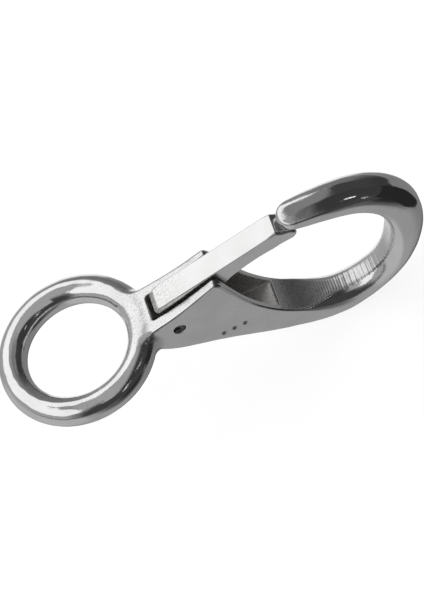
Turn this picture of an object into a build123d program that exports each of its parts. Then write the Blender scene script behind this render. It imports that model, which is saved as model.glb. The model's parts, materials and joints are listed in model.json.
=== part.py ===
"""Fixed-eye boat snap: cast eye-and-hook body, spring-loaded gate, pivot pin, torsion spring.

Units are millimetres.  The origin is the centre of the eye.  X runs along the snap towards the
hook, Y is the pivot pin's axis and Z points to the gate side.  The eye lies in the XY plane.
Pairs of numbers are points of the side view, (X, Z), and HEADING values are directions in it.
"""
from build123d import *
from math import asin, atan2, cos, degrees, hypot, pi, sin
import os

# --- eye ---------------------------------------------------------------------------------
EYE_RADIUS = 15.23          # centre line of the round eye
EYE_ROD = 3.28              # radius of the round bar that the eye is made of

# --- shank: a wedge-shaped plate behind the hook -------------------------------------------
SHANK_START = 15.3          # inside the eye's bar
SHANK_START_HALF_WIDTH = 6.35
HOOK_HALF_WIDTH = 4.55      # from the foot of the hook to the end of the bend
NOSE_HALF_WIDTH = 3.8       # at the nose's tip
SHANK_CROWN = (15.3, 3.2)   # the shank meets the eye's bar between these two points
SHANK_HEEL = (14.4, -3.0)
BACK_START = (17.3, -6.2)   # the back of the shank is straight from here
BACK_END = (37.5, -17.35)
FOOT_BACK = (47.0, -22.0)   # the shank ends and the hook begins
FOOT_THROAT = (48.4, -14.4)
SPINE_START = (44.3, -10.6)  # end of the slot floor
CHEEK_FOOT = (39.6, -2.9)
CHEEK_TIP = (35.9, 8.0)
CHEEK_CROWN = (34.3, 9.4)
CHEEK_TOP = (26.0, 5.95)
CHEEK_REAR = (18.6, 3.75)
SHANK_ROUND = 3.0           # rounding along the two back edges of the shank
FOOT_BACK_HEADING = (1, -0.33)
CHEEK_FOOT_HEADING = (-1, 0.95)
CHEEK_TIP_HEADING = (-0.3, 1)
CHEEK_CROWN_HEADING = (-1, -0.42)
CHEEK_REAR_HEADING = (-1, -0.25)

# --- hook: D-shaped bar from the foot round the bend to the nose ----------------------------
HOOK_BACK = [(57.8, -23.7), (66.4, -21.1), (75.5, -15.0), (81.0, -5.8), (82.2, 3.9),
             (78.8, 11.4), (72.3, 16.1), (64.5, 17.5), (58.0, 17.3)]
NOSE_BACK = (53.2, 16.7)
THROAT = [(55.5, -16.8), (62.0, -16.7), (68.3, -13.4), (72.7, -6.3), (74.1, 0.8), (72.3, 7.8),
          (68.0, 11.7), (61.8, 13.5)]
NOSE_HEEL = (53.2, 14.8)
FOOT_THROAT_HEADING = (1, -0.75)
NOSE_BACK_HEADING = (-1, -0.22)
NOSE_HEEL_HEADING = (-1, 0.2)
NOSE_BLANK = (10, 12, 8)    # block round the nose's tip that the bullet shape is cut from
HOOK_STATIONS = 14
FOOT_INSET = 0.12           # the bar starts this much inside the shank's end face
NOSE_TAPER_START = 0.7      # share of the bar's length where it starts to narrow
ROUND_SHARE = 0.6           # rounding of the back, as a share of the bar's thickness
BACK_FLAT = 0.2             # least half width of the flat left between the back's roundings
BACK_ROUND_FULL = 0.25      # share of the length where the back has its full rounding
THROAT_ROUND_FOOT = 0.5
THROAT_ROUND_BEND = 2.4
THROAT_ROUND_NOSE = 0.5
THROAT_ROUND_FULL = 0.3     # the throat's edges have their full rounding from this share
THROAT_ROUND_FADE = 0.45    # and up to this one

# --- slot for the gate ---------------------------------------------------------------------
SLOT_HALF_WIDTH = 3.4
SLOT_REAR = 18.6
SLOT_FLOOR_REAR = -3.6
SLOT_FLOOR_KNEE = (33.0, -10.2)
SLOT_FRONT = 47.3

# --- pivot ---------------------------------------------------------------------------------
PIVOT = (23.2, 0.0)
PIN_DIAMETER = 2.8
PIN_HALF_LENGTH = 4.7       # each end sits a millimetre below the cheek's outer face
PIN_CHAMFER = 0.25
GATE_BORE = PIN_DIAMETER + 0.1

# --- gate ----------------------------------------------------------------------------------
GATE_HALF_WIDTH = 2.9
GATE_TIP_TOP = (51.7, 15.1)
GATE_REAR_TOP = (20.9, 6.3)
GATE_REAR = (19.9, 5.2)
STEP_FOOT = (52.9, 14.3)   # foot of the step below the nose's tip
LIP_TOP = (54.7, 13.9)
LIP_END = (56.2, 12.3)
LIP_UNDER = (54.7, 10.85)
LIP_TOP_HEADING = (1, -0.3)
LIP_BACK_HEADING = (-1, -0.2)
BELLY_FRONT_HEADING = (-1, -0.17)
BELLY_REAR_HEADING = (-1, -0.45)
GATE_BELLY = (46.2, 9.3)
GATE_THROAT = (38.6, 6.45)
BARREL_RADIUS = 3.3
GATE_EDGE = 0.35            # rounding along the gate's long edges

# --- bay in the gate's tail for the spring ---------------------------------------------------
BAY_HALF_WIDTH = 1.6
BAY_RADIUS = 2.75
BAY_FRONT = 33.0
BAY_ROOF_FRONT = 3.05       # height of the roof that the front leg bears on

# --- torsion spring --------------------------------------------------------------------------
WIRE = 0.7
COIL_RADIUS = 2.15          # wire centre line
COIL_PITCH = 0.8
FRONT_LEG_END = (31.9, 2.55)
REAR_LEG_END = (30.6, -8.55)

MARGIN = 1.0                # cutting shapes reach at least this far past what they cut
WEDGE_DEPTH = 40.0          # more than the shank's height


def plate(outline, half):
    """Solid whose side view is the closed outline and which reaches half to each side."""
    return extrude(Plane.XZ * make_face(outline), amount=half, both=True)


def cross_bar(centre, radius, half):
    """Round bar along Y."""
    x, z = centre
    return Pos(x, 0, z) * Rot(90, 0, 0) * Cylinder(radius, 2 * half)


def direction(start, end):
    """Vector from start to end in the side view."""
    return end[0] - start[0], end[1] - start[1]


# --- body --------------------------------------------------------------------------------------
def shank_plate():
    """Wedge-shaped plate from inside the eye's bar to the foot of the hook."""
    slope = direction(BACK_START, BACK_END)
    outline = [
        Line(SHANK_HEEL, BACK_START),
        Line(BACK_START, BACK_END),
        Spline(BACK_END, FOOT_BACK, tangents=[slope, FOOT_BACK_HEADING]),
        Line(FOOT_BACK, FOOT_THROAT),
        Spline(FOOT_THROAT, SPINE_START, CHEEK_FOOT, CHEEK_TIP,
               tangents=[CHEEK_FOOT_HEADING, CHEEK_TIP_HEADING]),
        Spline(CHEEK_TIP, CHEEK_CROWN, tangents=[CHEEK_TIP_HEADING, CHEEK_CROWN_HEADING]),
        Spline(CHEEK_CROWN, CHEEK_TOP, CHEEK_REAR,
               tangents=[CHEEK_CROWN_HEADING, CHEEK_REAR_HEADING]),
        Line(CHEEK_REAR, SHANK_CROWN),
        Line(SHANK_CROWN, SHANK_HEEL),
    ]
    x_ends = (SHANK_START - MARGIN, FOOT_THROAT[0] + MARGIN)
    end_half_width = HOOK_HALF_WIDTH + FOOT_INSET
    slope_y = (end_half_width - SHANK_START_HALF_WIDTH) / (FOOT_BACK[0] - SHANK_START)
    near, far = [SHANK_START_HALF_WIDTH + slope_y * (x - SHANK_START) for x in x_ends]
    plan = Polyline((x_ends[0], near), (x_ends[1], far), (x_ends[1], -far), (x_ends[0], -near),
                    close=True)
    wedge = extrude(make_face(plan), amount=WEDGE_DEPTH, both=True)
    solid = plate(outline, SHANK_START_HALF_WIDTH + MARGIN) & wedge
    middle = ((BACK_START[0] + BACK_END[0]) / 2, (BACK_START[1] + BACK_END[1]) / 2)
    back_edges = [edge for edge in solid.edges() if is_back_edge(edge, middle)]
    return fillet(back_edges, SHANK_ROUND)


def is_back_edge(edge, middle):
    """True for the two long edges of the shank's straight back."""
    centre = edge.center()
    return hypot(centre.X - middle[0], centre.Z - middle[1]) < 1 and abs(centre.Y) > 1


def hook_section(back, throat, half, back_round, throat_round):
    """Section of the hook's bar: flat throat side, round back."""
    dx, dz = direction(throat, back)
    thickness = hypot(dx, dz)
    section = Pos(0, thickness / 2) * Rectangle(2 * half, thickness)
    section = fillet(section.vertices().group_by(Axis.Y)[0], throat_round)
    section = fillet(section.vertices().group_by(Axis.Y)[-1], back_round)
    where = Plane(origin=(throat[0], 0, throat[1]), x_dir=(0, 1, 0), z_dir=(dz, 0, -dx))
    return where * section


def throat_rounding(share):
    """Edge rounding of the throat: small at the foot, large in the bend, small at the nose."""
    if share < THROAT_ROUND_FADE:
        ramp = sin(pi / 2 * min(share / THROAT_ROUND_FULL, 1)) ** 2
        return THROAT_ROUND_FOOT + ramp * (THROAT_ROUND_BEND - THROAT_ROUND_FOOT)
    ramp = (share - THROAT_ROUND_FADE) / (1 - THROAT_ROUND_FADE)
    return THROAT_ROUND_BEND + ramp * (THROAT_ROUND_NOSE - THROAT_ROUND_BEND)


def bar_half_width(share):
    """Half width of the bar: constant round the bend, then narrowing to the nose's tip."""
    ramp = max(share - NOSE_TAPER_START, 0) / (1 - NOSE_TAPER_START)
    return HOOK_HALF_WIDTH + ramp * (NOSE_HALF_WIDTH - HOOK_HALF_WIDTH)


def back_rounding(share, thickness):
    """Edge rounding of the back: the shank's at the foot, almost a half round beyond it."""
    full = min(ROUND_SHARE * thickness, bar_half_width(share) - BACK_FLAT)
    ramp = min(share / BACK_ROUND_FULL, 1)
    return SHANK_ROUND + ramp * (full - SHANK_ROUND)


def foot_points():
    """Back and throat points where the bar starts, just inside the shank's end face."""
    dx, dz = direction(FOOT_BACK, FOOT_THROAT)
    share = FOOT_INSET / hypot(dx, dz)
    back = (FOOT_BACK[0] + share * dx, FOOT_BACK[1] + share * dz)
    throat = (FOOT_THROAT[0] - share * dx, FOOT_THROAT[1] - share * dz)
    return back, throat


def hook_bar():
    """Bar that runs from the foot round the bend to the nose, with a rounded nose tip."""
    foot_back, foot_throat = foot_points()
    back = Spline(foot_back, *HOOK_BACK, NOSE_BACK,
                  tangents=[FOOT_BACK_HEADING, NOSE_BACK_HEADING])
    throat = Spline(foot_throat, *THROAT, NOSE_HEEL,
                    tangents=[FOOT_THROAT_HEADING, NOSE_HEEL_HEADING])
    sections = []
    for station in range(HOOK_STATIONS):
        share = station / (HOOK_STATIONS - 1)
        outer = back @ share
        inner = throat @ share
        back_round = back_rounding(share, (outer - inner).length)
        throat_round = throat_rounding(share)
        sections.append(hook_section((outer.X, outer.Y), (inner.X, inner.Y),
                                     bar_half_width(share), back_round, throat_round))
    bar = loft(sections)
    tip_x = NOSE_BACK[0] + NOSE_HALF_WIDTH
    block = Pos(tip_x - NOSE_BLANK[0] / 2, 0, NOSE_BACK[1]) * Box(*NOSE_BLANK)
    bullet = Pos(tip_x, 0, NOSE_BACK[1]) * Cylinder(NOSE_HALF_WIDTH, NOSE_BLANK[2] + MARGIN)
    return bar - (block - bullet)


def gate_slot():
    """Open slot between the two cheeks, with a sloping floor."""
    top = CHEEK_CROWN[1] + MARGIN
    outline = Polyline((SLOT_REAR, top), (SLOT_REAR, SLOT_FLOOR_REAR), SLOT_FLOOR_KNEE,
                       SPINE_START, (SLOT_FRONT, top), close=True)
    return plate(outline, SLOT_HALF_WIDTH)


def make_body():
    """Eye, shank, cheeks and hook as one casting."""
    eye = Torus(EYE_RADIUS, EYE_ROD)
    body = eye + shank_plate() + hook_bar()
    body -= gate_slot()
    body -= cross_bar(PIVOT, PIN_DIAMETER / 2, SHANK_START_HALF_WIDTH + MARGIN)
    return body


# --- gate --------------------------------------------------------------------------------------
def belly_touch():
    """Point where the straight belly of the gate's tail touches the barrel."""
    dx, dz = direction(PIVOT, GATE_THROAT)
    reach = hypot(dx, dz)
    angle = atan2(dz, dx) - (pi / 2 - asin(BARREL_RADIUS / reach))
    return PIVOT[0] + BARREL_RADIUS * cos(angle), PIVOT[1] + BARREL_RADIUS * sin(angle)


def spring_bay():
    """Room in the gate's tail for the coil and for both legs of the spring."""
    x, z = PIVOT
    below = z - BARREL_RADIUS - MARGIN
    behind = x - BARREL_RADIUS - MARGIN
    channel = Polyline((behind, z), (behind, below),
                       (BAY_FRONT, below), (BAY_FRONT, BAY_ROOF_FRONT), (x, z + BAY_RADIUS),
                       (x, z), close=True)
    return plate(channel, BAY_HALF_WIDTH) + cross_bar(PIVOT, BAY_RADIUS, BAY_HALF_WIDTH)


def make_gate():
    """Keeper bar with a stepped lip at its tip and a barrel round the pin at its tail."""
    touch = belly_touch()
    barrel_foot = (PIVOT[0], PIVOT[1] - BARREL_RADIUS)
    barrel_rear = (PIVOT[0] - BARREL_RADIUS, PIVOT[1])
    outline = [
        Line(GATE_REAR_TOP, GATE_TIP_TOP),
        Line(GATE_TIP_TOP, STEP_FOOT),
        Line(STEP_FOOT, LIP_TOP),
        Spline(LIP_TOP, LIP_END, LIP_UNDER, tangents=[LIP_TOP_HEADING, LIP_BACK_HEADING]),
        Spline(LIP_UNDER, GATE_BELLY, GATE_THROAT,
               tangents=[BELLY_FRONT_HEADING, BELLY_REAR_HEADING]),
        Line(GATE_THROAT, touch),
        RadiusArc(touch, barrel_foot, BARREL_RADIUS),
        RadiusArc(barrel_foot, barrel_rear, BARREL_RADIUS),
        Line(barrel_rear, GATE_REAR),
        Line(GATE_REAR, GATE_REAR_TOP),
    ]
    gate = plate(outline, GATE_HALF_WIDTH)
    top_edges = [edge for edge in gate.edges() if is_long_top_edge(edge)]
    gate = fillet(top_edges, GATE_EDGE)
    gate -= spring_bay()
    gate -= cross_bar(PIVOT, GATE_BORE / 2, GATE_HALF_WIDTH + MARGIN)
    return gate


def is_long_top_edge(edge):
    """True for the two long edges of the gate's flat top."""
    centre = edge.center()
    length = hypot(*direction(GATE_REAR_TOP, GATE_TIP_TOP))
    return abs(edge.length - length) < 0.1 and abs(centre.Y) > 1 and centre.Z > 8


# --- pin and spring ------------------------------------------------------------------------------
def make_pin():
    """Straight pin, chamfered at both ends and pressed into the cheeks."""
    pin = cross_bar(PIVOT, PIN_DIAMETER / 2, PIN_HALF_LENGTH)
    ends = [edge for edge in pin.edges() if edge.geom_type == GeomType.CIRCLE]
    return chamfer(ends, PIN_CHAMFER)


def leg_touch(end, side):
    """Angle on the coil at which a straight leg to the given end leaves it."""
    dx, dz = direction(PIVOT, end)
    return atan2(dz, dx) + side * (pi / 2 - asin(COIL_RADIUS / hypot(dx, dz)))


def leg(angle, y, end):
    """Straight wire from the coil to a leg's end."""
    start = Vector(PIVOT[0] + COIL_RADIUS * cos(angle), y, PIVOT[1] + COIL_RADIUS * sin(angle))
    stop = Vector(end[0], y, end[1])
    path = Line(start, stop)
    return sweep(Plane(origin=start, z_dir=stop - start) * Circle(WIRE / 2), path=path)


def make_spring():
    """Torsion spring: a coil round the pin, one leg under the gate, one on the slot's floor."""
    front = leg_touch(FRONT_LEG_END, 1)
    rear = leg_touch(REAR_LEG_END, -1)
    turns = 2 + (front - rear) / (2 * pi)
    height = turns * COIL_PITCH
    coil_path = Helix(COIL_PITCH, height, COIL_RADIUS)
    start = coil_path @ 0
    coil = sweep(Plane(origin=start, z_dir=coil_path % 0) * Circle(WIRE / 2), path=coil_path,
                 is_frenet=True)
    coil = Pos(PIVOT[0], height / 2, PIVOT[1]) * Rot(90, 0, 0) * Rot(0, 0, degrees(rear)) * coil
    rear_leg = leg(rear, height / 2, REAR_LEG_END)
    front_leg = leg(front, -height / 2, FRONT_LEG_END)
    return coil + rear_leg + front_leg


def main():
    os.makedirs("parts", exist_ok=True)
    nodes = {
        "hook_body": make_body(),
        "gate": make_gate(),
        "pivot_pin": make_pin(),
        "torsion_spring": make_spring(),
    }
    for name, shape in nodes.items():
        shape.label = name
        export_step(shape, f"parts/{name}.step")
        print(name, len(shape.solids()), round(shape.volume, 1), shape.bounding_box())


main()
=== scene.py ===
"""Looks of the fixed-eye boat snap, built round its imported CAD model.

Blender works in metres in the row frame: the origin is the centre of the eye, +X runs to the hook,
Y is the pivot pin's axis and +Z points to the gate side.  Shapes are worked out in millimetres as
signed distances (negative inside the metal) and turned into meshes at the end.
"""
import json
import math
import bpy
import numpy as np
from mathutils import Matrix, Vector


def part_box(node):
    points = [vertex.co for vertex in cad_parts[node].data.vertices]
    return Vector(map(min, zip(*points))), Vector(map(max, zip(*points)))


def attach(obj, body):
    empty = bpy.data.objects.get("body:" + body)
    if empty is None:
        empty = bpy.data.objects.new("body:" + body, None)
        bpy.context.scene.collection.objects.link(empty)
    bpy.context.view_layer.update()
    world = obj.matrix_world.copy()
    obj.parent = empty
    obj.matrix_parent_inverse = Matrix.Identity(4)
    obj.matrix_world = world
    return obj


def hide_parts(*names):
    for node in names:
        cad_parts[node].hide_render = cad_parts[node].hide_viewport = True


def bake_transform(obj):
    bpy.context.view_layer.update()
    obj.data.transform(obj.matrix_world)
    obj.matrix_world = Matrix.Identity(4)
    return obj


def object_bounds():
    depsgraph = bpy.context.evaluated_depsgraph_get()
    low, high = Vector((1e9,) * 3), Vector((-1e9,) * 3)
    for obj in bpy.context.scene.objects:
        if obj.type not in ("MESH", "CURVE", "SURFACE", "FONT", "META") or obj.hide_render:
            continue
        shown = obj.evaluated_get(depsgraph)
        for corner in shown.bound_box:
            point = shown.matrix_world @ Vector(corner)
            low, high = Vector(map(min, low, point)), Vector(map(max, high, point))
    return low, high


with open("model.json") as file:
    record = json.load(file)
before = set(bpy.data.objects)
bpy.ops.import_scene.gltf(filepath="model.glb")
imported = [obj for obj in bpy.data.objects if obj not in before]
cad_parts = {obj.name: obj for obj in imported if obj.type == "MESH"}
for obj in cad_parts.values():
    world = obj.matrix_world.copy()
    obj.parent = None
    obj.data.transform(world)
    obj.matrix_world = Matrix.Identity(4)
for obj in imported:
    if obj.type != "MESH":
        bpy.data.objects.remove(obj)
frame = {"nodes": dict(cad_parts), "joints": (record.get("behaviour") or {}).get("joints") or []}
CAD_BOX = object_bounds()
MM = 0.001

# --- the casting's side view, (X, Z) in millimetres ------------------------------------------
EYE_RADIUS = 15.23
EYE_ROD = 3.28
SHANK_REAR = 13.2
SHANK_HALF_WIDTH = 6.35
HOOK_HALF_WIDTH = 4.55
NOSE_HALF_WIDTH = 3.8
WIDTH_ENDS = (15.3, 47.0)      # the shank narrows between these X
TAPER_SOFTNESS = 0.002         # softens the end of that taper
TAPER_SHIFT = 0.02             # takes back about half of what that adds
BACK = [(14.4, -3.0), (17.3, -6.2), (27.4, -11.78), (37.5, -17.35), (47.0, -22.0),
        (57.8, -23.7), (66.4, -21.1), (75.5, -15.0), (81.0, -5.8), (82.2, 3.9), (78.8, 11.4),
        (72.3, 16.1), (64.5, 17.5), (58.0, 17.3), (53.2, 16.7)]
CHEEK_TOP = [(13.0, 1.6), (16.4, 3.15), (18.6, 3.75), (26.0, 5.95), (34.3, 9.4)]
CHEEK_CROWN = [(34.3, 9.4), (36.1, 7.6)]
THROAT = [(36.1, 7.6), (39.6, -2.9), (44.3, -10.6), (48.4, -14.4), (55.5, -16.8), (62.0, -16.7),
          (68.3, -13.4), (72.7, -6.3), (74.1, 0.8), (72.3, 7.8), (68.0, 11.7), (61.8, 13.5),
          (53.2, 14.8)]
BACK_FOOT = (47.0, -22.0)      # places along the back: where the hook begins, and its far turn
BACK_BEND = (78.8, 11.4)
THROAT_FOOT = (48.4, -14.4)    # and along the throat
THROAT_SEAT = (62.0, -16.7)
THROAT_BEND = (74.1, 0.8)
THROAT_CHIN = (68.0, 11.7)
EYE_BLEND = (1.6, 2.4)         # fillet where the shank grows out of the eye: on top, and below
EYE_BLEND_Z = (-3.0, 1.5)      # it changes from one to the other between these Z
# rounding of the back's edges: depth on the shank, share of the thickness round the bend, and
# width on the shank, round the bend and at the nose
BACK_DEPTH = 2.5
BACK_DEPTH_SHARE = 0.56
BACK_WIDTHS = (3.0, 4.0, 3.5)
# rounding of the inner edges: at first, and what the seat, the bend, the chin and the rails add
INNER_DEPTHS = (0.5, 3.7, -1.7, -1.8, 0.35)
INNER_WIDTHS = (0.5, 3.2, -1.2, -1.8, 0.45)
RAIL_RUN = (28.0, 34.0)        # the rails' share of it ends between these runs along the inner curve
SHANK_FRONT = 45.0             # behind this X the nose's back isn't looked at
NOSE_TIP = 52.8
NOSE_BULLET = 4.15             # radius of the nose's tip seen from above
NOSE_FLARE = 0.12
NOSE_ROUND = 1.1
NOSE_LOWEST = 11.0             # only metal above this Z
NOSE_FRONT = 67.0              # and behind this X is the nose
SLOT_HALF_WIDTH = 3.4
SLOT_REAR = 18.6
SLOT_FRONT = 50.0
SLOT_FLOOR = [(18.6, -3.6), (33.0, -10.2), (44.3, -10.6)]
SLOT_CORNER = 0.6
SLOT_EDGE = 0.22
PIN_HOLE = 1.4
HOLE_EDGE = 0.15
STAMP_X = (31.0, 33.6, 36.2)   # three plain dots, stamped in the near cheek
STAMP_Z = -9.2
STAMP_BALL = 1.1
STAMP_DEPTH = 0.24
STAMP_EDGE = 0.08
STAMP_PAINTED_SHADE = (0.3, 0.82)       # painted shade: the dark centre of each dent fades out between these radii
MASK_FADE = 0.25               # a finish fades out over this depth below its own face
RAIL_FADE = (0.03, 0.11)       # the same on the cheeks' tops
STRIP_FADE = (0.0, 0.45)       # and in the throat
WASHBOARD_START = (56.0, 60.0)  # the coarse file marks in the throat grow between these X
WASHBOARD_END = (-9.0, -3.0)   # and fade between these Z
RIB_PITCH = 0.62               # the throat's fine ribs
WASHBOARD_PITCH = 1.35
STRIP_START = 0.6              # the throat's finish begins over this length
STRIP_END = (6.0, 9.0)         # and ends between these Z
RAIL_END = (34.3, 36.0)
PLATEAU_REAR = (11.5, 14.0)    # the frosted top where the shank meets the eye
PLATEAU_FRONT = (17.5, 19.0)
PLATEAU_LOW = (1.6, 2.4)
SIDE_START = (14.0, 18.0)      # the sides' satin finish grows between these X
DEEP_INSIDE = -10.0            # a distance that never makes the surface

# --- the gate's side view ----------------------------------------------------------------------
GATE_HALF_WIDTH = 2.9
GATE_TOP = [(19.9, 5.2), (20.9, 6.3), (51.7, 15.1), (52.9, 14.3), (54.7, 13.9), (56.75, 12.4),
            (54.7, 10.85)]
GATE_ROUNDS = (0.6, 0.9, 0.55, 0.45, 0.6, 1.3)    # radii of its corners, up to the last point
GATE_BELLY = [(54.7, 10.85), (46.2, 9.3), (38.6, 6.45)]
GATE_TAIL = (25.35, -2.5)      # where the belly touches the barrel
FROST_ENDS = (21.0, 31.0)      # the frost on the gate's rear fades out between these X
GATE_TOP_FACING = 0.9          # a face that points up at least this much has the top's finish
BARREL_RADIUS = 3.3
GATE_EDGE = 0.35
GATE_REAR_EDGE = 0.6           # added to it round the barrel's rear
GATE_REAR = (20.5, 22.5)
GATE_LIP_EDGE = 0.4            # and on the lip
GATE_LIP = (49.5, 52.0)
GATE_BORE = 1.45
BAY_HALF_WIDTH = 1.6
BAY_RADIUS = 2.75
BAY_ROOF = (33.0, 3.05)
BAY_EDGE = 0.15

# --- spring ------------------------------------------------------------------------------------
WIRE = 0.35
COIL_RADIUS = 2.15
FRONT_LEG_END = (31.9, 2.55)
REAR_LEG_END = (30.6, -8.55)

BODY_STEP = 0.29               # grid of the casting's mesh
GATE_STEP = 0.2
PIVOT = np.array(frame["joints"][0]["pos_m"]) / MM


# --- curves and distances ----------------------------------------------------------------------
def unit(vector):
    vector = np.array(vector, float)
    return vector / np.linalg.norm(vector)


def spline(points, start, end, step=0.15):
    """Samples of the cubic spline through points: place, unit tangent and curvature."""
    p = np.array(points, float)
    span = np.hypot(*np.diff(p, axis=0).T)
    knot = np.concatenate([[0], np.cumsum(span)])
    count = len(p)
    slope = np.diff(p, axis=0) / span[:, None]
    system = np.eye(count)
    right = np.zeros((count, 2))
    right[0], right[-1] = unit(start), unit(end)
    for i in range(1, count - 1):
        system[i, i - 1:i + 2] = span[i], 2 * (span[i - 1] + span[i]), span[i - 1]
        right[i] = 3 * (span[i] * slope[i - 1] + span[i - 1] * slope[i])
    speed = np.linalg.solve(system, right)
    at = np.linspace(0, knot[-1], int(knot[-1] / step) + 2)
    i = np.clip(np.searchsorted(knot, at, side="right") - 1, 0, count - 2)
    h = span[i][:, None]
    s = (at - knot[i])[:, None] / h
    a, b, u, v = p[i], p[i + 1], speed[i] * h, speed[i + 1] * h
    place = a * (2*s**3 - 3*s**2 + 1) + u * (s**3 - 2*s**2 + s) + b * (3*s**2 - 2*s**3) + v * (s**3 - s**2)
    first = (a * (6*s**2 - 6*s) + u * (3*s**2 - 4*s + 1) + b * (6*s - 6*s**2) + v * (3*s**2 - 2*s)) / h
    second = (a * (12*s - 6) + u * (6*s - 4) + b * (6 - 12*s) + v * (6*s - 2)) / h**2
    pace = np.linalg.norm(first, axis=1)
    curvature = (first[:, 0] * second[:, 1] - first[:, 1] * second[:, 0]) / pace**3
    return place, first / pace[:, None], curvature


AT_ONCE = 8192                 # points looked up in one go, to save memory


def nearest(curve, x, z):
    """Index of the curve's sample nearest to each point."""
    place = curve[0]
    half = 0.5 * (place**2).sum(1)
    flat = np.stack([x.ravel(), z.ravel()], 1)
    found = [np.argmin(half - flat[i:i + AT_ONCE] @ place.T, axis=1)
             for i in range(0, len(flat), AT_ONCE)]
    return np.concatenate(found).reshape(x.shape)


def left_of(curve, index, x, z):
    """Distance to the left of the curve, using the circle that touches it at the nearest sample."""
    place, tangent, curvature = (part[index] for part in curve)
    dx, dz = x - place[..., 0], z - place[..., 1]
    along = dx * tangent[..., 0] + dz * tangent[..., 1]
    aside = dz * tangent[..., 0] - dx * tangent[..., 1]
    root = np.sqrt((curvature * along)**2 + (1 - curvature * aside)**2)
    return (2 * aside - curvature * (along**2 + aside**2)) / (1 + root)


def meet(a, b, round_a, round_b=None):
    """Inside both a and b, with the edge between them rounded as a quarter of an ellipse."""
    round_b = round_a if round_b is None else round_b
    p, q = a / round_a + 1, b / round_b + 1
    inner = np.minimum(np.maximum(p, q), 0)
    return (np.hypot(np.maximum(p, 0), np.maximum(q, 0)) + inner - 1) * np.minimum(round_a, round_b)


def join(a, b, fillet):
    """Inside a or b, with a fillet in the corner between them."""
    return -meet(-a, -b, fillet)


def above_line(start, end, x, z):
    """Distance to the left of a straight line."""
    dx, dz = unit(np.subtract(end, start))
    return (z - start[1]) * dx - (x - start[0]) * dz


def ramp(value, low, high):
    """Smooth step from 0 at low to 1 at high."""
    t = np.clip((value - low) / (high - low), 0, 1)
    return t * t * (3 - 2 * t)


# --- the casting -------------------------------------------------------------------------------
BACK_CURVE = spline(BACK, (2.9, -3.2), (-1, -0.22))
INNER_PARTS = [spline(CHEEK_TOP, (1, 0.6), (1, 0.42)), spline(CHEEK_CROWN, (1, 0.42), (0.3, -1)),
               spline(THROAT, (0.3, -1), (-1, 0.2))]
INNER_CURVE = tuple(np.concatenate(parts) for parts in zip(*INNER_PARTS))


def run_length(curve):
    return np.concatenate([[0], np.cumsum(np.hypot(*np.diff(curve[0], axis=0).T))])


BACK_RUN = run_length(BACK_CURVE)
INNER_RUN = run_length(INNER_CURVE)


def run_at(curve, run, place):
    """Length along a curve to its sample nearest to a place."""
    return run[nearest(curve, np.array(place[:1]), np.array(place[1:]))[0]]


FOOT_RUN = run_at(BACK_CURVE, BACK_RUN, BACK_FOOT)
SHANK_BACK = (BACK_CURVE[0][BACK_RUN < FOOT_RUN],)     # the back's places before the hook begins
BEND_RUN = run_at(BACK_CURVE, BACK_RUN, BACK_BEND)
INNER_FOOT, INNER_SEAT, INNER_BEND, INNER_CHIN = (
    run_at(INNER_CURVE, INNER_RUN, place) for place in (THROAT_FOOT, THROAT_SEAT, THROAT_BEND, THROAT_CHIN))


def back_rounds():
    """Rounding of the back's edges along its samples: (depth, width)."""
    x, z = BACK_CURVE[0].T
    thickness = -left_of(INNER_CURVE, nearest(INNER_CURVE, x, z), x, z)
    to_bend = ramp(BACK_RUN, FOOT_RUN + 12, FOOT_RUN + 36)
    to_nose = ramp(BACK_RUN, BEND_RUN - 6, BACK_RUN[-1])
    depth = BACK_DEPTH + to_bend * (BACK_DEPTH_SHARE * thickness - BACK_DEPTH)
    shank, bend, nose = BACK_WIDTHS
    return depth, shank + to_bend * (bend - shank) + to_nose * (nose - bend)


def inner_rounds():
    """Rounding of the cheeks' and throat's edges along their samples: (depth, width)."""
    seat = ramp(INNER_RUN, INNER_FOOT - 1, INNER_FOOT + 10)
    bend = ramp(INNER_RUN, INNER_SEAT + 4, INNER_BEND)
    chin = ramp(INNER_RUN, INNER_BEND + 3, INNER_CHIN + 6)
    rail = 1 - ramp(INNER_RUN, *RAIL_RUN)
    stretches = (1, seat, bend, chin, rail)
    return [sum(stretch * size for stretch, size in zip(stretches, sizes))
            for sizes in (INNER_DEPTHS, INNER_WIDTHS)]


BACK_ROUNDS = back_rounds()
INNER_ROUNDS = inner_rounds()


def half_width(x, back):
    """Half width of the casting: narrowing along the shank, and again along the nose."""
    low, high = WIDTH_ENDS
    shank = np.clip((high - x) / (high - low), 0, None)
    soft = np.sqrt(shank**2 + TAPER_SOFTNESS) - TAPER_SHIFT
    nose = ramp(BACK_RUN[back], BEND_RUN - 3, BACK_RUN[-1] + 2)
    return HOOK_HALF_WIDTH + soft * (SHANK_HALF_WIDTH - HOOK_HALF_WIDTH) \
        - nose * (HOOK_HALF_WIDTH - NOSE_HALF_WIDTH)


def nose_end(x, y, z):
    """Plan view of the nose's bullet tip, which only counts near the nose."""
    ahead = x - NOSE_TIP - NOSE_BULLET
    bullet = np.hypot(np.minimum(ahead, 0), y) - NOSE_BULLET - NOSE_FLARE * np.maximum(ahead, 0)
    return np.where((z > NOSE_LOWEST) & (x < NOSE_FRONT), bullet, DEEP_INSIDE)


def slot_space(x, y, z):
    """The slot for the gate, negative inside it."""
    floor = np.maximum(-above_line(*SLOT_FLOOR[:2], x, z), -above_line(*SLOT_FLOOR[1:], x, z))
    side_view = np.maximum(meet(SLOT_REAR - x, floor, SLOT_CORNER), x - SLOT_FRONT)
    return meet(side_view, np.abs(y) - SLOT_HALF_WIDTH, SLOT_CORNER)


def cast_waves(x, y, z):
    """The slight unevenness that hand polishing leaves on a casting."""
    return 0.010 * np.sin(0.9 * x + 0.7 * z + 1.3 * np.sin(0.5 * y)) \
        + 0.007 * np.sin(1.7 * y - 1.1 * x + 0.8 * z)


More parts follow.
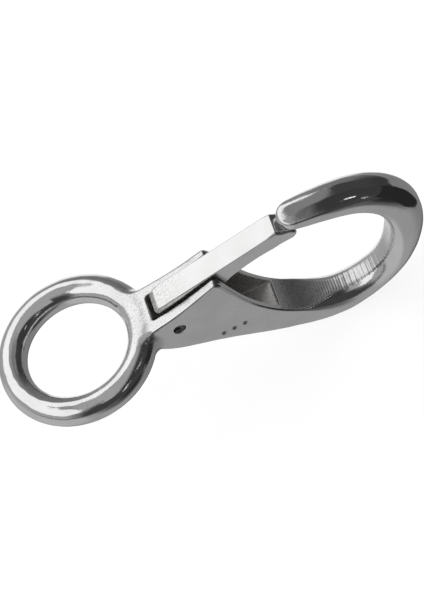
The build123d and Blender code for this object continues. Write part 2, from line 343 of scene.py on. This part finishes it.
def body_field(x, y, z, back, inner):
    """The casting.  back and inner are the nearest samples of the two curves."""
    outer = -left_of(BACK_CURVE, back, x, z)
    throat = left_of(INNER_CURVE, inner, x, z)
    side = np.abs(y) - half_width(x, back)
    bar = np.maximum(meet(outer, side, BACK_ROUNDS[0][back], BACK_ROUNDS[1][back]),
                     meet(throat, side, INNER_ROUNDS[0][inner], INNER_ROUNDS[1][inner]))
    bar = meet(bar, nose_end(x, y, z), NOSE_ROUND)
    bar = np.maximum(bar, SHANK_REAR - x)
    eye = np.hypot(np.hypot(x, y) - EYE_RADIUS, z) - EYE_ROD
    top_blend, low_blend = EYE_BLEND
    blend = low_blend + (top_blend - low_blend) * ramp(z, *EYE_BLEND_Z)
    metal = join(eye, bar, blend) + cast_waves(x, y, z)
    metal = meet(metal, -slot_space(x, y, z), SLOT_EDGE)
    metal = meet(metal, PIN_HOLE - np.hypot(x - PIVOT[0], z - PIVOT[2]), HOLE_EDGE)
    for stamp in STAMP_X:
        centre_y = -half_width(stamp, np.array(0)) - STAMP_BALL + STAMP_DEPTH
        ball = np.sqrt((x - stamp)**2 + (y - centre_y)**2 + (z - STAMP_Z)**2) - STAMP_BALL
        metal = meet(metal, -ball, STAMP_EDGE)
    return metal


# --- the gate ----------------------------------------------------------------------------------
def rounded_corners(points, rounds, steps=8):
    """Outline through points, whose inner corners are arcs of the given radii."""
    made = [points[0]]
    for before, corner, after, radius in zip(points, points[1:], points[2:], rounds):
        a, b = unit(np.subtract(before, corner)), unit(np.subtract(after, corner))
        half = math.acos(np.clip(a @ b, -1, 1)) / 2
        reach = radius / math.tan(half)
        centre = np.array(corner) + unit(a + b) * radius / math.sin(half)
        first, last = np.array(corner) + a * reach - centre, np.array(corner) + b * reach - centre
        turn = math.pi - 2 * half
        for i in range(steps + 1):
            share = i / steps
            arm = (math.sin((1 - share) * turn) * first + math.sin(share * turn) * last)
            made.append(tuple(centre + arm / math.sin(turn)))
    return made + [points[-1]]


def dense_curve(points, step=0.06):
    """Samples of an outline whose corners are already round: place, unit tangent and curvature."""
    points = np.array(points, float)
    run = np.concatenate([[0], np.cumsum(np.hypot(*np.diff(points, axis=0).T))])
    at = np.linspace(0, run[-1], int(run[-1] / step))
    place = np.stack([np.interp(at, run, points[:, i]) for i in range(2)], 1)
    tangent = np.gradient(place, at, axis=0)
    tangent /= np.linalg.norm(tangent, axis=1)[:, None]
    turn = np.gradient(np.unwrap(np.arctan2(tangent[:, 1], tangent[:, 0])), at)
    return place, tangent, turn


def gate_outline():
    """From the rear of the barrel over the top and the lip, and back along the belly."""
    rear = (PIVOT[0] - BARREL_RADIUS, PIVOT[2])
    head = rounded_corners([rear] + GATE_TOP, GATE_ROUNDS)
    belly = spline(GATE_BELLY, (-1, -0.17), (-1, -0.47), step=0.4)[0]
    return dense_curve(head + [tuple(p) for p in belly[1:]] + [GATE_TAIL])


GATE_CURVE = gate_outline()


def gate_samples(x, z):
    return (nearest(GATE_CURVE, x, z),)


def gate_field(x, y, z, near):
    """The gate: a flat bar with a stepped lip, and a barrel round the pin."""
    from_pin = np.hypot(x - PIVOT[0], z - PIVOT[2])
    profile = np.minimum(left_of(GATE_CURVE, near, x, z), from_pin - BARREL_RADIUS)
    edge = GATE_EDGE + GATE_REAR_EDGE * (1 - ramp(x, *GATE_REAR)) + GATE_LIP_EDGE * ramp(x, *GATE_LIP)
    metal = meet(profile, np.abs(y) - GATE_HALF_WIDTH, edge)
    roof = above_line((PIVOT[0], BAY_RADIUS), BAY_ROOF, x, z)
    channel = np.maximum(np.maximum(roof, x - BAY_ROOF[0]), np.where(x < PIVOT[0], z, DEEP_INSIDE))
    bay = np.maximum(np.minimum(channel, from_pin - BAY_RADIUS), np.abs(y) - BAY_HALF_WIDTH)
    metal = meet(metal, -bay, BAY_EDGE)
    return meet(metal, GATE_BORE - from_pin, HOLE_EDGE)


# --- meshes from distances ---------------------------------------------------------------------
LONGEST_PUSH = 0.15            # how far a point moves towards the surface in one go
LEAST_SLOPE = 0.05
EDGES = [(a, b) for a in range(8) for b in range(8) if b > a and bin(a ^ b).count("1") == 1]


def grid_axes(node, step):
    """Grid coordinates that hold a CAD node, in millimetres."""
    low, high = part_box(node)
    return [np.arange(a / MM - 3 * step, b / MM + 3 * step, step) for a, b in zip(low, high)]


def net_vertices(field, axes):
    """One vertex in each grid cell that the surface crosses, and each cell's vertex number."""
    inside = field < 0
    size = [n - 1 for n in field.shape]
    offsets = [(c & 1, c >> 1 & 1, c >> 2 & 1) for c in range(8)]
    parts = [tuple(slice(o, o + n) for o, n in zip(offset, size)) for offset in offsets]
    full = sum(inside[part].astype(np.int8) for part in parts)
    cells = np.argwhere((full > 0) & (full < 8))
    values = np.stack([field[tuple((cells + offset).T)] for offset in offsets], 1)
    total, count = np.zeros((len(cells), 3)), np.zeros((len(cells), 1))
    for a, b in EDGES:
        crossed = ((values[:, a] < 0) != (values[:, b] < 0))[:, None]
        gap = np.where(crossed[:, 0], values[:, a] - values[:, b], 1)
        share = (values[:, a] / gap)[:, None]
        point = np.array(offsets[a]) + share * np.subtract(offsets[b], offsets[a])
        total += np.where(crossed, point, 0)
        count += crossed
    number = np.full(size, -1)
    number[tuple(cells.T)] = np.arange(len(cells))
    origin = np.array([axis[0] for axis in axes])
    return origin + (cells + total / count) * (axes[0][1] - axes[0][0]), number


def net_quads(field, number):
    """A quad round each grid edge that the surface crosses, facing outwards."""
    inside = field < 0
    quads = []
    for axis in range(3):
        u, v = (axis + 1) % 3, (axis + 2) % 3
        low = [slice(1, -1)] * 3
        low[axis] = slice(0, -1)
        high = list(low)
        high[axis] = slice(1, None)
        near, far = inside[tuple(low)], inside[tuple(high)]
        for starts in (True, False):
            at = np.argwhere((near == starts) & (far != starts))
            at[:, u] += 1
            at[:, v] += 1
            ring = [(0, 0), (-1, 0), (-1, -1), (0, -1)]
            corners = []
            for du, dv in (ring if starts else ring[::-1]):
                cell = at.copy()
                cell[:, u] += du
                cell[:, v] += dv
                corners.append(number[tuple(cell.T)])
            quads.append(np.stack(corners, 1))
    return np.concatenate(quads)


def slope_of(field, points, extra, reach=0.02):
    """Value and gradient of a distance at each point."""
    gradient = np.zeros_like(points)
    for axis in range(3):
        shift = np.zeros(3)
        shift[axis] = reach
        rise = field(*(points + shift).T, *extra) - field(*(points - shift).T, *extra)
        gradient[:, axis] = rise / (2 * reach)
    return field(*points.T, *extra), gradient


def settle(field, points, extra, rounds=3):
    """Moves points onto the surface, and gives the surface's directions there."""
    for _ in range(rounds):
        value, gradient = slope_of(field, points, extra)
        push = value / np.maximum((gradient**2).sum(1), LEAST_SLOPE)
        points = points - np.clip(push, -LONGEST_PUSH, LONGEST_PUSH)[:, None] * gradient
    normals = slope_of(field, points, extra)[1]
    return points, normals / np.linalg.norm(normals, axis=1)[:, None]


def relax(points, quads):
    """Moves each point halfway to the middle of its neighbours."""
    total, count = np.zeros_like(points), np.zeros((len(points), 1))
    for a, b in ((0, 1), (1, 2), (2, 3), (3, 0)):
        for i, j in ((a, b), (b, a)):
            np.add.at(total, quads[:, i], points[quads[:, j]])
            np.add.at(count, quads[:, i], 1)
    return (points + total / count) / 2


def nearest_samples(x, z):
    """Nearest samples of the back and of the inner curve.  On the shank the nose's back doesn't count."""
    back = np.where(x < SHANK_FRONT, nearest(SHANK_BACK, x, z), nearest(BACK_CURVE, x, z))
    return back, nearest(INNER_CURVE, x, z)


def field_mesh(name, node, field, samples, step):
    """Mesh object of a field's surface, inside the box of the CAD node it stands for."""
    axes = grid_axes(node, step)
    x, y, z = np.meshgrid(*axes, indexing="ij", sparse=True)
    flat_x, flat_z = np.broadcast_arrays(x, z)
    extra = samples(flat_x, flat_z)
    values = field(flat_x, y, flat_z, *extra)
    points, number = net_vertices(values, axes)
    quads = net_quads(values, number)
    for _ in range(2):
        extra = samples(points[:, 0], points[:, 2])
        points, normals = settle(field, relax(points, quads), extra)
    low, high = (np.array(corner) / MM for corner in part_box(node))
    points = np.clip(points, low, high)
    mesh = bpy.data.meshes.new(name)
    mesh.from_pydata((points * MM).tolist(), [], quads.tolist())
    mesh.shade_smooth()
    mesh.normals_split_custom_set_from_vertices(normals.tolist())
    made = bpy.data.objects.new(name, mesh)
    bpy.context.scene.collection.objects.link(made)
    return made, points, normals


def add_value(piece, name, values):
    """A number at each vertex, for the material to read."""
    piece.data.attributes.new(name, "FLOAT", "POINT").data.foreach_set("value", values.astype(np.float32))


def make_casting():
    piece, points, _ = field_mesh("hook_casting", "hook_body", body_field, nearest_samples, BODY_STEP)
    x, y, z = points.T
    back, inner = nearest_samples(x, z)
    floor_end = SLOT_FLOOR[-1][0]
    below_top = np.abs(left_of(INNER_CURVE, inner, x, z))
    in_slot = 1 - ramp(slot_space(x, y, z), 0, MASK_FADE)
    strip = (1 - ramp(below_top, *STRIP_FADE)) * ramp(x, floor_end, floor_end + STRIP_START)
    strip *= 1 - ramp(z, *STRIP_END)
    add_value(piece, "slot", in_slot)
    add_value(piece, "strip", strip)
    add_value(piece, "washboard", strip * ramp(x, *WASHBOARD_START) * (1 - ramp(z, *WASHBOARD_END)))
    plateau = ramp(x, *PLATEAU_REAR) * (1 - ramp(x, *PLATEAU_FRONT)) * ramp(z, *PLATEAU_LOW)
    top = np.maximum(1 - ramp(below_top, *RAIL_FADE), plateau)
    add_value(piece, "rail", top * (1 - ramp(x, *RAIL_END)) * (1 - in_slot))
    add_value(piece, "side", ramp(np.abs(y) - half_width(x, back), -MASK_FADE, 0) * ramp(x, *SIDE_START))
    add_value(piece, "run", INNER_RUN[inner])
    # painted shade in the stamped dents: a dark centre on each dot of the near cheek
    stamp = np.min([np.hypot(x - centre, z - STAMP_Z) for centre in STAMP_X], axis=0)
    add_value(piece, "stamp", (1 - ramp(stamp, *STAMP_PAINTED_SHADE)) * (y < 0))
    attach(piece, "body")
    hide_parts("hook_body")
    return piece


def make_gate():
    piece, _, normals = field_mesh("gate_bar", "gate", gate_field, gate_samples, GATE_STEP)
    add_value(piece, "top", normals[:, 2] > GATE_TOP_FACING)
    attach(piece, "gate")
    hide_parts("gate")
    return piece


# --- spring ------------------------------------------------------------------------------------
def leg_angle(end, side):
    """Angle on the coil where a straight leg to the given end touches it."""
    dx, dz = end[0] - PIVOT[0], end[1] - PIVOT[2]
    return math.atan2(dz, dx) + side * math.acos(COIL_RADIUS / math.hypot(dx, dz))


def coil_point(angle, y):
    return (PIVOT[0] + COIL_RADIUS * math.cos(angle), y, PIVOT[2] + COIL_RADIUS * math.sin(angle))


def spring_path():
    """Centre line of the wire: rear leg, coil, front leg."""
    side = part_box("torsion_spring")[1][1] / MM - WIRE
    rear, front = leg_angle(REAR_LEG_END, -1), leg_angle(FRONT_LEG_END, 1)
    turns = 2 + (front - rear) / (2 * math.pi)
    count = int(turns * 36)
    coil = [coil_point(rear + 2 * math.pi * turns * i / count, side - 2 * side * i / count)
            for i in range(count + 1)]
    rear_leg = np.linspace((REAR_LEG_END[0], side, REAR_LEG_END[1]), coil[0], 12)[:-1]
    front_leg = np.linspace(coil[-1], (FRONT_LEG_END[0], -side, FRONT_LEG_END[1]), 12)[1:]
    return np.concatenate([rear_leg, coil, front_leg])


def tube(name, path, radius, sides=14):
    """Closed round wire along a path in millimetres."""
    tangents = np.gradient(path, axis=0)
    across = np.array([0.0, 1.0, 0.0])
    rings = []
    for point, tangent in zip(path, tangents):
        tangent = unit(tangent)
        across = unit(across - (across @ tangent) * tangent)
        other = np.cross(tangent, across)
        angles = [2 * math.pi * i / sides for i in range(sides)]
        rings.append([point + radius * (math.cos(a) * across + math.sin(a) * other) for a in angles])
    vertices = np.array(rings).reshape(-1, 3)
    faces = [(r * sides + i, r * sides + (i + 1) % sides, (r + 1) * sides + (i + 1) % sides,
              (r + 1) * sides + i) for r in range(len(path) - 1) for i in range(sides)]
    faces += [tuple(range(sides))[::-1], tuple((len(path) - 1) * sides + i for i in range(sides))]
    mesh = bpy.data.meshes.new(name)
    mesh.from_pydata((vertices * MM).tolist(), [], faces)
    mesh.shade_smooth()
    made = bpy.data.objects.new(name, mesh)
    bpy.context.scene.collection.objects.link(made)
    return made


def make_spring():
    """The coil winds up between the leg in the slot and the leg under the gate."""
    path = spring_path()
    piece = tube("spring_wire", path, WIRE)
    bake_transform(piece)
    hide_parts("torsion_spring")
    return piece


# --- materials ---------------------------------------------------------------------------------
class Nodes:
    """Makes the nodes of one shader tree.  A value is a node's output or a number."""

    def __init__(self, tree):
        self.tree = tree

    def add(self, kind, **settings):
        node = self.tree.nodes.new(kind)
        for name, value in settings.items():
            setattr(node, name, value)
        return node

    def put(self, value, socket):
        if isinstance(value, bpy.types.NodeSocket):
            self.tree.links.new(value, socket)
        else:
            socket.default_value = value

    def calculate(self, operation, a, b=0.0):
        node = self.add("ShaderNodeMath", operation=operation)
        self.put(a, node.inputs[0])
        self.put(b, node.inputs[1])
        return node.outputs[0]

    def times(self, a, b):
        return self.calculate("MULTIPLY", a, b)

    def plus(self, a, b):
        return self.calculate("ADD", a, b)

    def map_range(self, value, start, end, low=0.0, high=1.0, **settings):
        """Maps a value between start and end to low and high."""
        node = self.add("ShaderNodeMapRange", **settings)
        for number, part in enumerate((value, start, end, low, high)):
            self.put(part, node.inputs[number])
        return node.outputs[0]

    def mix(self, share, a, b):
        """Mixes two colours or two numbers."""
        kind = "RGBA" if self.is_colour(a) else "FLOAT"
        node = self.add("ShaderNodeMix", data_type=kind)
        first = 6 if kind == "RGBA" else 2
        self.put(share, node.inputs[0])
        self.put(a, node.inputs[first])
        self.put(b, node.inputs[first + 1])
        return node.outputs[2 if kind == "RGBA" else 0]

    def is_colour(self, value):
        if isinstance(value, bpy.types.NodeSocket):
            return value.type == "RGBA"
        return hasattr(value, "__len__")


class Material(Nodes):
    """A node material on one Principled shader."""

    def __init__(self, name, metallic=1.0):
        self.material = bpy.data.materials.new(name)
        self.material.use_nodes = True
        super().__init__(self.material.node_tree)
        self.shader = self.tree.nodes["Principled BSDF"]
        self.shader.inputs["Metallic"].default_value = metallic
        self.place = self.add("ShaderNodeTexCoord").outputs["Object"]

    def noise(self, per_mm, detail=3.0, stretch=(1, 1, 1)):
        """Noise from about 0.3 to 0.7, with that many waves a millimetre."""
        mapping = self.add("ShaderNodeMapping")
        self.put(self.place, mapping.inputs["Vector"])
        mapping.inputs["Scale"].default_value = [s / MM for s in stretch]
        node = self.add("ShaderNodeTexNoise")
        self.put(mapping.outputs[0], node.inputs["Vector"])
        node.inputs["Scale"].default_value = per_mm
        node.inputs["Detail"].default_value = detail
        return node.outputs[0]

    def value(self, name):
        return self.add("ShaderNodeAttribute", attribute_name=name).outputs["Fac"]

    def spread(self, value, low, high, start=0.3, end=0.7):
        """Spreads a noise's values from low to high."""
        return self.map_range(value, start, end, low, high)

    def bump(self, height, distance_mm, below=None):
        node = self.add("ShaderNodeBump")
        node.inputs["Distance"].default_value = distance_mm * MM
        self.put(height, node.inputs["Height"])
        if below is not None:
            self.put(below, node.inputs["Normal"])
        return node.outputs[0]

    def finish(self, colour, roughness, normal):
        self.put(colour, self.shader.inputs["Base Color"])
        self.put(roughness, self.shader.inputs["Roughness"])
        self.put(normal, self.shader.inputs["Normal"])
        return self.material


def grey(level, warmth=0.0):
    return (level * (1 + warmth), level, level * (1 - warmth), 1)


def cast_steel():
    """Polished casting: bright eye and hook, satin cheeks, raw slot, machined throat."""
    m = Material("cast_steel")
    slot, strip, rail, side = (m.value(name) for name in ("slot", "strip", "rail", "side"))
    cloud, pebble, pits = m.noise(0.12), m.noise(2.2, 2), m.noise(2.4, 4)
    hair = m.noise(3.0, 2, stretch=(0.08, 1, 1))
    colour = m.mix(m.spread(cloud, 0, 1), grey(0.68), grey(0.76))
    colour = m.mix(m.times(m.spread(pits, 0, 1, 0.60, 0.72), 0.35), colour, grey(0.45, 0.02))
    specks = m.times(m.times(rail, m.spread(m.noise(3.5, 2), 0, 1, 0.54, 0.66)), 0.55)
    colour = m.mix(specks, colour, grey(0.38, 0.02))
    # painted shade: the stamped dents' dark centres
    colour = m.mix(m.value("stamp"), colour, grey(0.16))
    colour = m.mix(slot, colour, m.mix(m.spread(pebble, 0, 1), grey(0.52, 0.03), grey(0.92, 0.02)))
    rough = m.spread(hair, 0.03, 0.08)
    rough = m.mix(side, rough, m.spread(pebble, 0.20, 0.32))
    rough = m.mix(rail, rough, m.spread(pebble, 0.12, 0.26))
    rough = m.mix(strip, rough, m.spread(hair, 0.26, 0.36))
    rough = m.mix(slot, rough, m.spread(pebble, 0.42, 0.60))
    fine, coarse = (m.calculate("SINE", m.times(m.value("run"), 2 * math.pi / pitch))
                    for pitch in (RIB_PITCH, WASHBOARD_PITCH))
    ribs = m.times(m.times(fine, strip), 1.3)
    washboard = m.times(m.times(coarse, m.value("washboard")), 2.4)
    skin = m.plus(m.plus(m.times(slot, 6.0), m.times(rail, 1.6)), m.times(side, 1.1))
    normal = m.bump(m.plus(m.plus(ribs, washboard), m.times(pebble, skin)), 0.008)
    grit = m.times(m.noise(3.2, 3), m.spread(m.noise(0.22, 2), 0.25, 1.0, 0.42, 0.6))
    normal = m.bump(grit, 0.022, below=normal)
    return m.finish(colour, rough, normal)


def gate_steel():
    """Ground and polished bar with fine lines along its length."""
    m = Material("gate_steel")
    top = m.value("top")
    lines, cloud, pebble = m.noise(2.5, 3, stretch=(0.05, 1, 0.3)), m.noise(0.15), m.noise(1.8, 3)
    colour = m.mix(m.spread(cloud, 0, 1), grey(0.72, 0.005), grey(0.78))
    rough = m.mix(top, m.spread(lines, 0.16, 0.26), m.spread(lines, 0.08, 0.16))
    along = m.add("ShaderNodeSeparateXYZ")
    m.put(m.place, along.inputs[0])
    rear = m.map_range(along.outputs[0], *(end * MM for end in FROST_ENDS), 1, 0)
    frost = m.times(rear, pebble)
    colour = m.mix(m.times(rear, m.spread(pebble, 0, 1, 0.45, 0.62)), colour, grey(0.60, 0.01))
    normal = m.bump(lines, 0.0012)
    normal = m.bump(frost, 0.06, below=normal)
    return m.finish(colour, m.plus(rough, m.times(frost, 0.12)), normal)


def pin_steel_painted_shade():
    """Pin: rings left by turning, and a near-black colour that is painted shade for the hole it sits in."""
    m = Material("pin_steel_painted_shade")
    rings, cloud = m.noise(3.0, 2, stretch=(0.1, 1, 0.1)), m.noise(0.8)
    # painted shade: the pin is coloured near black to stand for the shade in its hole
    colour = m.mix(m.spread(cloud, 0, 1), grey(0.12, 0.03), grey(0.24, 0.02))
    return m.finish(colour, m.spread(rings, 0.28, 0.45), m.bump(rings, 0.006))


def drawn_wire():
    """Spring wire, with faint die lines."""
    m = Material("drawn_wire")
    lines, cloud = m.noise(4.0, 2, stretch=(0.3, 0.3, 1)), m.noise(1.0)
    colour = m.mix(m.spread(cloud, 0, 1), grey(0.50, 0.02), grey(0.62, 0.01))
    return m.finish(colour, m.spread(lines, 0.2, 0.34), m.bump(lines, 0.003))


# --- studio ------------------------------------------------------------------------------------
def heading(azimuth, elevation):
    """Direction from its azimuth (0 is +X, 90 is +Y) and elevation, in degrees."""
    a, e = math.radians(azimuth), math.radians(elevation)
    return math.cos(a) * math.cos(e), math.sin(a) * math.cos(e), math.sin(e)


FLOOR_TONE = 0.40
SKY_TONE = 0.44
SKY_CAP = (0, 90, 90, 2)       # azimuth, elevation, radius and softness of the rim, in degrees
SKIRTING_TONE = 0.12           # a thin dark line along part of the horizon, between two caps' rims
SKIRTING_CAPS = ((0, 90, 91, 1.5), (0, 90, 86, 1.5))
SKIRTING_PATCH = (245, 0, 50, 12)
CARD_HEIGHT = 0.085
# level cards over the object: name, two corners, depth below CARD_HEIGHT, and the X and tones
# between which the tone changes
LEVEL_CARDS = [("near_card", (0.0, -0.10), (0.20, 0.024), 0.0, (0.03, 0.056, SKY_TONE, 0.05)),
               ("streak_card", (0.086, -0.045), (0.104, -0.037), 0.001, (0.0, 1.0, 1.4, 1.4)),
               ("far_card", (0.030, 0.024), (0.20, 0.078), 0.0, (0.0655, 0.0735, 0.26, 0.06))]
END_CARD_X = 0.125
END_CARD_Y = (-0.06, 0.015)
END_CARD_Z = (-0.045, 0.035)
END_CARD_TONE = 0.025
# round patches of brightness: a cap as above, and its tone
FLOOR_PATCHES = [(200, -18, 46, 8, 0.56), (20, -30, 48, 22, 0.26), (300, -4, 34, 10, 0.12),
                 (312, -6, 18, 10, 0.03), (106, -38, 22, 8, 1.0), (82, -68, 16, 8, 0.12),
                 (93, -14, 13, 4, 1.0)]
SKY_PATCHES = [(60, 18, 36, 20, 0.20), (5, 15, 48, 18, 0.05), (288, 14, 48, 12, 0.06)]
SOFTBOXES = [(124, 42, 23), (160, 45, 22), (192, 46, 22), (212, 44, 19)]
BOX_TONE = 1.18
BOX_RIM = (2, 0.16)            # width and brightness of the dark rim round the softboxes
STREAK_SPOTS = 6               # a slanting row of small lights that make a streak on the ring
SKY_PATCHES += [(*box, radius + BOX_RIM[0], 1, BOX_RIM[1]) for *box, radius in SOFTBOXES]
SKY_PATCHES += [(*box, radius, 1, BOX_TONE) for *box, radius in SOFTBOXES]
SKY_PATCHES += [(303 + 3 * i, 26 + 4 * i, 1.9, 1.2, 1.1) for i in range(STREAK_SPOTS)]


def make_world():
    """The room that the metal mirrors, painted by direction.  The camera sees white."""
    world = bpy.data.worlds.new("studio")
    bpy.context.scene.world = world
    world.use_nodes = True
    nodes = Nodes(world.node_tree)
    direction = nodes.add("ShaderNodeTexCoord").outputs["Generated"]

    def cap(azimuth, elevation, radius, softness):
        """1 inside a round patch of the sky, 0 outside it."""
        dot = nodes.add("ShaderNodeVectorMath", operation="DOT_PRODUCT")
        nodes.put(direction, dot.inputs[0])
        nodes.put(heading(azimuth, elevation), dot.inputs[1])
        outside, inside = (math.cos(math.radians(radius + side * softness)) for side in (1, -1))
        return nodes.map_range(dot.outputs["Value"], outside, inside, interpolation_type="SMOOTHSTEP")

    def painted(tone, patches):
        for *patch, brightness in patches:
            tone = nodes.mix(cap(*patch), tone, brightness)
        return tone

    sky, floor = painted(SKY_TONE, SKY_PATCHES), painted(FLOOR_TONE, FLOOR_PATCHES)
    light = nodes.mix(cap(*SKY_CAP), floor, sky)
    low_rim, high_rim = (cap(*rim) for rim in SKIRTING_CAPS)
    skirting = nodes.times(nodes.calculate("SUBTRACT", low_rim, high_rim), cap(*SKIRTING_PATCH))
    light = nodes.mix(skirting, light, SKIRTING_TONE)
    seen = nodes.add("ShaderNodeLightPath").outputs["Is Camera Ray"]
    nodes.put(nodes.mix(seen, light, 1.0), nodes.tree.nodes["Background"].inputs["Color"])


def panel(name, corners):
    """Flat panel of the studio."""
    mesh = bpy.data.meshes.new(name)
    mesh.from_pydata(corners, [], [(0, 1, 2, 3)])
    made = bpy.data.objects.new(name, mesh)
    bpy.context.scene.collection.objects.link(made)
    return made


def level_panel(name, corner, opposite, height):
    (x0, y0), (x1, y1) = corner, opposite
    return panel(name, [(x0, y0, height), (x1, y0, height), (x1, y1, height), (x0, y1, height)])


def make_floor():
    floor = level_panel("floor", (-3, -3), (3, 3), CAD_BOX[0][2] - 0.0002)
    m = Material("floor_paint", metallic=0.0)
    grain = m.noise(0.05)
    m.put((1, 1, 1, 1), m.shader.inputs["Emission Color"])
    m.put(0.85, m.shader.inputs["Emission Strength"])
    m.finish(m.mix(m.spread(grain, 0, 1), grey(0.34), grey(0.37)), m.spread(grain, 0.6, 0.7),
             m.bump(grain, 0.01))
    floor.data.materials.append(m.material)
    floor.visible_glossy = False


def grey_card(card, fade_start, fade_end, start_tone, end_tone):
    """Makes a panel a card that only reflections show.  Its tone changes along X."""
    material = bpy.data.materials.new(card.name)
    material.use_nodes = True
    nodes = Nodes(material.node_tree)
    nodes.tree.nodes.clear()
    along = nodes.add("ShaderNodeSeparateXYZ")
    nodes.put(nodes.add("ShaderNodeTexCoord").outputs["Object"], along.inputs[0])
    tone = nodes.map_range(along.outputs[0], fade_start, fade_end, start_tone, end_tone,
                           interpolation_type="SMOOTHSTEP")
    glow = nodes.add("ShaderNodeEmission")
    nodes.put(tone, glow.inputs["Strength"])
    out = nodes.add("ShaderNodeOutputMaterial")
    nodes.put(glow.outputs[0], out.inputs["Surface"])
    card.data.materials.append(material)
    card.visible_camera = card.visible_diffuse = card.visible_shadow = False


def make_cards():
    """Cards round the hook: over it, over its far side, and past its bend."""
    for name, corner, opposite, drop, fade in LEVEL_CARDS:
        grey_card(level_panel(name, corner, opposite, CARD_HEIGHT - drop), *fade)
    (y0, y1), (z0, z1) = END_CARD_Y, END_CARD_Z
    end = panel("end_card", [(END_CARD_X, y, z) for y, z in ((y0, z0), (y1, z0), (y1, z1), (y0, z1))])
    grey_card(end, 0.0, 1.0, END_CARD_TONE, END_CARD_TONE)


CAMERA_PLACE = (0.09760, -0.32505, 0.49580)
CAMERA_LOOK = (-0.1102, 0.5425, -0.8328)
CAMERA_UP = (0.3937, 0.7932, 0.4646)
CAMERA_LENS = 162.8


def make_camera():
    data = bpy.data.cameras.new("camera")
    camera = bpy.data.objects.new("camera", data)
    bpy.context.scene.collection.objects.link(camera)
    data.lens = CAMERA_LENS
    data.sensor_width = 36
    data.clip_start, data.clip_end = 0.01, 20
    back = -Vector(CAMERA_LOOK).normalized()
    right = Vector(CAMERA_UP).cross(back).normalized()
    turn = Matrix((right, back.cross(right), back)).transposed()
    camera.matrix_world = Matrix.Translation(CAMERA_PLACE) @ turn.to_4x4()
    bpy.context.scene.camera = camera


def main():
    make_camera()
    make_world()
    make_floor()
    make_cards()
    casting, gate, spring = make_casting(), make_gate(), make_spring()
    casting.data.materials.append(cast_steel())
    gate.data.materials.append(gate_steel())
    spring.data.materials.append(drawn_wire())
    pin = frame["nodes"]["pivot_pin"]
    # the pin's material carries painted shade for its hole
    for place in pin.material_slots:
        place.material = pin_steel_painted_shade()
    bpy.context.scene.view_settings.view_transform = "Standard"


main()
